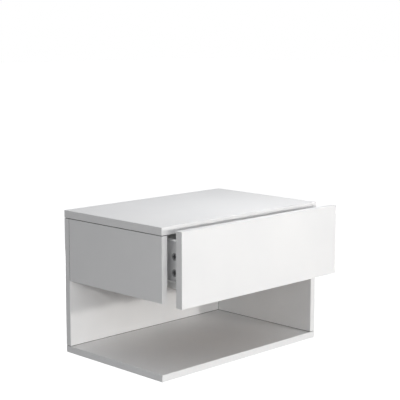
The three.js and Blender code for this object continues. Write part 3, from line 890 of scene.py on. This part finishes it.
def add_roller(node, outward):
    """A moulded roller: a tread whose radius falls with the square of the way from its middle, with round
    shoulders, and a ring groove in each face between the hub and the rim"""
    start, width, radius = along(node, outward)
    tread = np.linspace(-1.0, 1.0, TREAD_STEPS + 1)
    half = width / 2
    side = [(ROLLER_BORE, BREAK), (ROLLER_BORE + BREAK, 0.0), (ROLLER_HUB, 0.0)]
    side += [(ROLLER_HUB + ROLLER_GROOVE_SLOPE, ROLLER_GROOVE_DEPTH)]
    side += [(ROLLER_GROOVE - ROLLER_GROOVE_SLOPE, ROLLER_GROOVE_DEPTH), (ROLLER_GROOVE, 0.0)]
    for turn in np.linspace(0, math.pi / 2, SHOULDER_STEPS + 1)[1:-1]:
        reach, rise = ROLLER_SHOULDER * math.sin(turn), ROLLER_SHOULDER * math.cos(turn)
        side.append((radius - ROLLER_SHOULDER + reach, ROLLER_SHOULDER - rise))
    middle = [(radius - ROLLER_CROWN * share**2, half + share * (half - ROLLER_SHOULDER)) for share in tread]
    outline = side + middle + [(ring, width - station) for ring, station in side[::-1]]
    wear = np.pad(1 - abs(tread) ** 4, len(side))
    shape = bored_ring(outline, around(ROLLER_SIDES), wear).moved(start, outward)
    add_piece("moulded", node, mesh_of(node, shape, [finishes["natural_nylon"]]), DOME_SMOOTH_ANGLE)


def add_pin(node, outward, sheet_node):
    """A riveted pin: a tail in the sheet, a collar, a shank and a low domed head"""
    start, length, radius = along(node, outward)
    collar_end, head_start = SHEET + PIN_COLLAR, length - PIN_HEAD
    outline = out_edge(PIN_TAIL_RADIUS, 0.0) + [(PIN_TAIL_RADIUS, SHEET), (radius - BREAK, SHEET)]
    outline += [(radius, SHEET + BREAK / 2), (radius, collar_end)]
    outline += [(PIN_SHANK_RADIUS, collar_end), (PIN_SHANK_RADIUS, head_start)]
    outline += out_edge(radius, head_start)
    for turn in np.linspace(0, math.pi / 2, PIN_DOME_STEPS + 1)[1:]:
        dome = max(radius * math.cos(turn * PIN_DOME_SHARE), PIN_POLE_RADIUS)
        outline.append((dome, head_start + BREAK + (PIN_HEAD - BREAK) * math.sin(turn)))
    angles = around(FASTENER_SIDES)
    add_turned(node, outline, angles, (-4, -3, -2, -1), start, outward, DOME_SMOOTH_ANGLE)
    bore_start = start + outward * (SHEET + OVERRUN)
    cut(hole(bore_start, -outward, PIN_TAIL_RADIUS + FIT / 2, SHEET + OVERRUN * 2), sheet_node)


# Runners

CHANNEL_REACH = 0.010
ROLLER_CLEARING = 0.019
ROLLER_PLAY = 0.00025
STOP_HEIGHT = 0.004
SLOT_HALF_WIDTH = 0.0021
SLOT_HALF_LENGTH = 0.0042
SLOT_PITCH = 0.032
FIRST_SLOT_SHARE = 0.75
SLOT_CLEARANCE = 0.011
SLOT_MARGIN = 0.008
FOOT_REACH = 0.012
RUNNER_GAP = 0.0125
FLANGE_PANEL_GAP = 0.00225

# Heights between which the rollers wear a runner, in its sheet's thickness: up from the channel's
# underside, and down from the flange's top
CHANNEL_WEAR_SHARES = (0.8, 1.6)
FLANGE_WEAR_SHARES = (1.4, 0.5)


def slot_cutter(place, outward, half_length):
    """A slot with round ends, longer along Y: each half turn has its own centre."""
    shape = hole(place, outward, SLOT_HALF_WIDTH, SHEET * 4)
    points = shape.points - place
    side = np.sign(np.round(points[:, 1] / MERGE))
    points[:, 1] += side * (half_length - SLOT_HALF_WIDTH)
    return Shape(points + place, shape.faces)


def add_runner(node, mesh, lowest, highest):
    """A runner with its holes cut, and full wear on the points between two heights, where rollers run"""
    mesh = boolean(mesh, joined(cuts[node]))
    heights = points_of(mesh)[:, 2]
    worn = (heights >= lowest) & (heights <= highest)
    mesh.attributes["wear"].data.foreach_set("value", worn.astype(np.float32))
    add_piece("folded", node, mesh)


def stop_shape(side, floor_z, xs):
    """The stop on a channel's floor that the drawer's roller meets at the end of its travel. The roller's
    circle reaches the stop's top a chord away from the roller's middle."""
    low, high = corners(side + "_drawer_roller")
    travel = next(joint["range_m"][1] for joint in frame["joints"] if joint["name"] == "drawer_slide")
    radius = (high[2] - low[2]) / 2
    chord = math.sqrt(radius**2 - (radius - STOP_HEIGHT + ROLLER_PLAY) ** 2)
    y = (low[1] + high[1]) / 2 - travel - chord - FIT
    top = floor_z + SHEET / 2 + STOP_HEIGHT
    return board_shape((min(xs), y - SHEET, floor_z), (max(xs), y, top), SHEET / 4, False)


def cut_slots(node, side, panel_x, inward):
    """Long and round slots by turns along the channel's web, away from its screws and its pin"""
    low, high = corners(node)
    fasteners = (f"{node}_front_screw", f"{node}_rear_screw", side + "_cabinet_roller_pin")
    taken = [along(fastener, inward)[0][1] for fastener in fasteners]
    for k in range(int((high[1] - low[1]) / SLOT_PITCH)):
        y = low[1] + SLOT_PITCH * (k + FIRST_SLOT_SHARE)
        if min(abs(y - other) for other in taken) < SLOT_CLEARANCE or y > high[1] - SLOT_MARGIN:
            continue
        place = np.array([panel_x - inward[0] * SHEET, y, (low[2] + high[2]) / 2])
        cut(slot_cutter(place, inward, SLOT_HALF_LENGTH if k % 2 else SLOT_HALF_WIDTH), node)


def add_cabinet_runner(side, sign):
    """A channel open to the drawer, with slots in its web, a stop on its floor and its upper flange cut
    away over the roller"""
    node = side + "_cabinet_runner"
    low, high = corners(node)
    panel_x = sign * max(abs(low[0]), abs(high[0]))
    inner_x = panel_x - sign * CHANNEL_REACH
    web_x = panel_x - sign * SHEET / 2
    floor_z, roof_z = low[2] + SHEET / 2, high[2] - SHEET / 2
    outline = bent_sheet([(inner_x, floor_z), (web_x, floor_z), (web_x, roof_z), (inner_x, roof_z)])
    mesh = mesh_of(node, carried(outline, low[1], high[1]), [finishes["white_coated_steel"]])
    mesh = boolean(mesh, stop_shape(side, floor_z, (web_x, inner_x)), operation="UNION")
    start = (panel_x - sign * SHEET, low[1] - OVERRUN, high[2] - SHEET - OVERRUN)
    end = (inner_x - sign * OVERRUN, low[1] + ROLLER_CLEARING, high[2] + OVERRUN)
    cut(box_shape(start, end), node)
    cut_slots(node, side, panel_x, AXES["right"] * -sign)
    add_runner(node, mesh, *(low[2] + SHEET * np.array(CHANNEL_WEAR_SHARES)))


def add_drawer_runner(side, sign):
    """A foot under the drawer side, a leg up its outer face and a flange that rolls on the front roller"""
    node = side + "_drawer_runner"
    low, high = corners(node)
    flange_x = sign * max(abs(low[0]), abs(high[0]))
    side_x = flange_x + sign * (FLANGE_PANEL_GAP - RUNNER_GAP)
    leg_x = side_x + sign * SHEET / 2
    foot_z, flange_z = low[2] + SHEET / 2, high[2] - SHEET / 2
    legs = [(side_x - sign * FOOT_REACH, foot_z), (leg_x, foot_z), (leg_x, flange_z), (flange_x, flange_z)]
    mesh = mesh_of(node, carried(bent_sheet(legs), low[1], high[1]), [finishes["white_coated_steel"]])
    add_runner(node, mesh, *(high[2] - SHEET * np.array(FLANGE_WEAR_SHARES)))


# Boards

# Joints, by the side that a board's end is on: how far its rim stands back, and the board that it meets
JOINTS = {
    "up": (0.0014, "top_panel"),
    "back": (0.0013, "back_panel"),
    "down": (0.0012, "bottom_shelf"),
    "front": (0.0002, "drawer_front"),
    "left": (0.0002, "drawer_left_side"),
    "right": (0.0002, "drawer_right_side"),
}

# The ends of each board that have such a joint
JOINTED_ENDS = {
    "left_side_panel": ("up", "back"),
    "right_side_panel": ("up", "back", "down"),
    "back_panel": ("up", "down"),
    "drawer_left_side": ("front",),
    "drawer_right_side": ("front",),
    "drawer_back": ("left", "right"),
}

# How deep a joint's groove goes in, in gaps
JOINT_DEPTH = 4.0

SEAT_DEPTH = 0.00015
SEAT_INSET = 0.0001
CABINET_BOARDS = ("top_panel", "left_side_panel", "right_side_panel", "back_panel", "bottom_shelf")
DRAWER_BOARDS = ("drawer_front", "drawer_left_side", "drawer_right_side", "drawer_back")

# The materials of a board's cut walls, by their number: bare chipboard, and the dark grey of painted shade
# in the joints
CHIPBOARD, PAINTED_SHADE = 1, 2


def cut_wall_holes():
    """Four holes through the back panel for the wall's own screws"""
    low, high = corners("back_panel")
    bay_z = corners("left_side_panel")[0][2]
    for z in (high[2] - WALL_HOLE_DROP, bay_z + WALL_HOLE_RISE):
        for _, sign in SIDES:
            place = np.array([sign * WALL_HOLE_SPACING / 2, high[1], z])
            depth = high[1] - low[1] + OVERRUN
            cut(hole(place, AXES["front"], WALL_HOLE_RADIUS, depth), "back_panel")


def cut_bottom_groove():
    """The groove that holds the drawer's bottom, in all four boards around it"""
    low, high = corners("drawer_bottom")
    cut(box_shape(low - FIT, high + FIT), *DRAWER_BOARDS)


def joint_ring(axis, levels, outer, inner):
    """A rectangular ring between two levels of an axis. A rectangle is given by its low and high corner."""
    across = [(axis + 1) % 3, (axis + 2) % 3]
    turns = np.array([[0, 0], [1, 0], [1, 1], [0, 1]])
    rings = np.empty((4, len(turns), 3))
    for ring, (low, high) in zip(rings, (outer, outer, inner, inner)):
        ring[:, across] = low + turns * (high - low)
    rings[:, :, axis] = np.sort(levels)[[0, 1, 1, 0]][:, None]
    return Shape(rings.reshape(-1, 3), grid_faces(4, len(turns), round_rows=True).tolist())


def joint_cutters(node, side):
    """The rings that a joint cuts. The first makes a groove round the board's end and leaves the core. The
    second sinks the other board's face behind that groove. It stops short of the board's side where the
    other board goes on, and runs over the edge where both end."""
    gap, other = JOINTS[side]
    axis = int(np.argmax(abs(AXES[side])))
    across = [(axis + 1) % 3, (axis + 2) % 3]
    low, high = corners(node)
    outward = AXES[side][axis]
    end = (high if outward > 0 else low)[axis]
    start, beyond, sunk = end + outward * np.array([-gap, OVERRUN, SEAT_DEPTH])
    low, high = low[across], high[across]
    other_low, other_high = (corner[across] for corner in corners(other))
    outer = (low - OVERRUN, high + OVERRUN)
    inner = (low + JOINT_DEPTH * gap, high - JOINT_DEPTH * gap)
    seat = (
        np.where(other_low < low - FIT, low + SEAT_INSET, outer[0]),
        np.where(other_high > high + FIT, high - SEAT_INSET, outer[1]),
    )
    return joint_ring(axis, (start, beyond), outer, inner), joint_ring(axis, (start, sunk), seat, inner)


def joint_cuts():
    """The rings of all the joints, by the board that they cut. The drawer's gaps are too thin for seats."""
    rings = {node: [] for node in CABINET_BOARDS + DRAWER_BOARDS}
    for node, sides in JOINTED_ENDS.items():
        for side in sides:
            groove, seat = joint_cutters(node, side)
            rings[node].append(groove)
            if node in CABINET_BOARDS:
                rings[JOINTS[side][1]].append(seat)
    return rings


def add_boards():
    """Every wide board, with its bores, grooves and joints cut at once"""
    cut_wall_holes()
    cut_bottom_groove()
    materials = [finishes[name] for name in ("white_melamine", "bare_chipboard", "painted_joint_shade")]
    for node, rings in joint_cuts().items():
        mesh = mesh_of(node, board_shape(*corners(node)), materials)
        counts = [sum(len(shape.faces) for shape in shapes) for shapes in (cuts[node], rings)]
        # The joints' grooves and seats take painted shade, a dark grey, so that the seams show dark
        mesh = boolean(mesh, joined(cuts[node] + rings), np.repeat([CHIPBOARD, PAINTED_SHADE], counts))
        add_piece("banded", node, mesh, BOARD_SMOOTH_ANGLE)


def add_drawer_bottom():
    """Thin fibre board, lacquered on top and bare on its other faces"""
    shape = board_shape(*corners("drawer_bottom"), HARDBOARD_RADIUS, False)
    materials = [finishes["white_lacquered_hardboard"], finishes["raw_hardboard"]]
    mesh = mesh_of("drawer_bottom", shape, materials)
    normals = np.empty(len(mesh.polygons) * 3)
    mesh.polygons.foreach_get("normal", normals)
    mesh.polygons.foreach_set("material_index", (normals[2::3] < 0.5).astype(np.int32))
    add_piece("pressed", "drawer_bottom", mesh, BOARD_SMOOTH_ANGLE)


# The cabinet's carcass screws: the way that they are driven, and the boards that they join
CABINET_SCREWS = (
    (("left_panel_upper", "left_panel_lower"), "front", ("back_panel", "left_side_panel")),
    (("right_panel_back",), "front", ("back_panel", "right_side_panel")),
    (("right_panel_front_foot", "right_panel_rear_foot"), "up", ("bottom_shelf", "right_side_panel")),
    (("back_panel_left_foot", "back_panel_right_foot"), "up", ("bottom_shelf", "back_panel")),
)


def add_fittings():
    """Every fastener, roller and pin. The fasteners and pins list their bores in the boards and runners; the
    rollers have none.
    """
    for side, sign in SIDES:
        outward, inward = AXES["right"] * sign, AXES["right"] * -sign
        panel, drawer_side = side + "_side_panel", f"drawer_{side}_side"
        for end in ("front", "rear"):
            add_cam(f"{side}_{end}_top_cam", inward, AXES["up"], panel)
            add_bolt(f"{side}_{end}_top_bolt", AXES["up"], panel, "top_panel")
            runner = side + "_cabinet_runner"
            add_runner_screw(f"{runner}_{end}_screw", inward, panel, runner)
            runner = side + "_drawer_runner"
            add_runner_screw(f"{runner}_{end}_screw", outward, drawer_side, runner)
        for level in ("lower", "upper"):
            name = f"drawer_{side}_{level}"
            add_cam(name + "_cam", outward, AXES["front"], drawer_side)
            add_bolt(name + "_bolt", AXES["front"], drawer_side, "drawer_front")
            add_carcass_screw(name + "_back_screw", inward, (drawer_side, "drawer_back"))
        add_dowel(side + "_back_dowel", AXES["down"], ("top_panel", "back_panel"))
        add_roller(side + "_cabinet_roller", inward)
        add_pin(side + "_cabinet_roller_pin", inward, side + "_cabinet_runner")
        add_roller(side + "_drawer_roller", outward)
        add_pin(side + "_drawer_roller_pin", outward, side + "_drawer_runner")
    for names, direction, boards in CABINET_SCREWS:
        for name in names:
            add_carcass_screw(name + "_screw", AXES[direction], boards)


# The studio

def add_camera():
    """The photograph's view"""
    data = bpy.data.cameras.new("camera")
    data.sensor_width = SENSOR
    data.lens = LENS
    data.clip_end = SIGHT
    camera = new_object("camera", data)
    camera.location = CAMERA_PLACE
    camera.rotation_euler = (math.pi / 2 - CAMERA_PITCH, 0.0, -CAMERA_YAW)
    bpy.context.scene.camera = camera


def add_lamps():
    """The lamps in their places, each turned to face its point"""
    for name, (place, aim, size, power, colour) in LAMPS.items():
        data = bpy.data.lights.new(name, "AREA")
        data.size = size
        data.energy = power
        data.color = colour
        lamp = new_object(name, data)
        lamp.location = place
        lamp.rotation_euler = (Vector(aim) - lamp.location).to_track_quat("-Z", "Y").to_euler()


def seen_share(tree):
    """1 for rays that come from the camera, a gloss or through glass, and 0 for the others"""
    rays = add_node(tree, "LightPath").outputs
    share = combined(tree, "MAXIMUM", rays["Is Camera Ray"], rays["Is Glossy Ray"])
    return combined(tree, "MAXIMUM", share, rays["Is Transmission Ray"])


def add_world():
    """White where it is seen. Where it shines, its light grows from none at eye level to the full above."""
    world = bpy.data.worlds.new("studio")
    world.use_nodes = True
    bpy.context.scene.world = world
    tree = world.node_tree
    share = seen_share(tree)
    height = add_node(tree, "SeparateXYZ", {"Vector": add_node(tree, "TexCoord").outputs["Generated"]})
    light = graded(tree, height.outputs["Z"], 0.0, AMBIENT, 0.0, 1.0)
    inputs = {
        "Color": mixed(tree, share, AMBIENT_COLOUR, (1.0, 1.0, 1.0)),
        "Strength": graded(tree, share, light, 1.0, 0.0, 1.0),
    }
    set_inputs(tree, tree.nodes["Background"], inputs)


def add_floor():
    """A pale floor below the object, which shows white apart from the object's shadow"""
    half = FLOOR_SIDE / 2
    z = corners("bottom_shelf")[0][2] - FLOOR_DROP
    shape = Shape([[-half, -half, z], [half, -half, z], [half, half, z], [-half, half, z]], [[0, 1, 2, 3]])
    floor = new_object("floor", mesh_of("floor", shape, [finished(pale_floor)]))


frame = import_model()
add_camera()

finishes = {make.__name__: finished(make) for make in FINISHES}
add_fittings()
for side, sign in SIDES:
    add_cabinet_runner(side, sign)
    add_drawer_runner(side, sign)
add_boards()
add_drawer_bottom()

add_world()
add_lamps()
add_floor()
bpy.context.scene.view_settings.view_transform = "Standard"
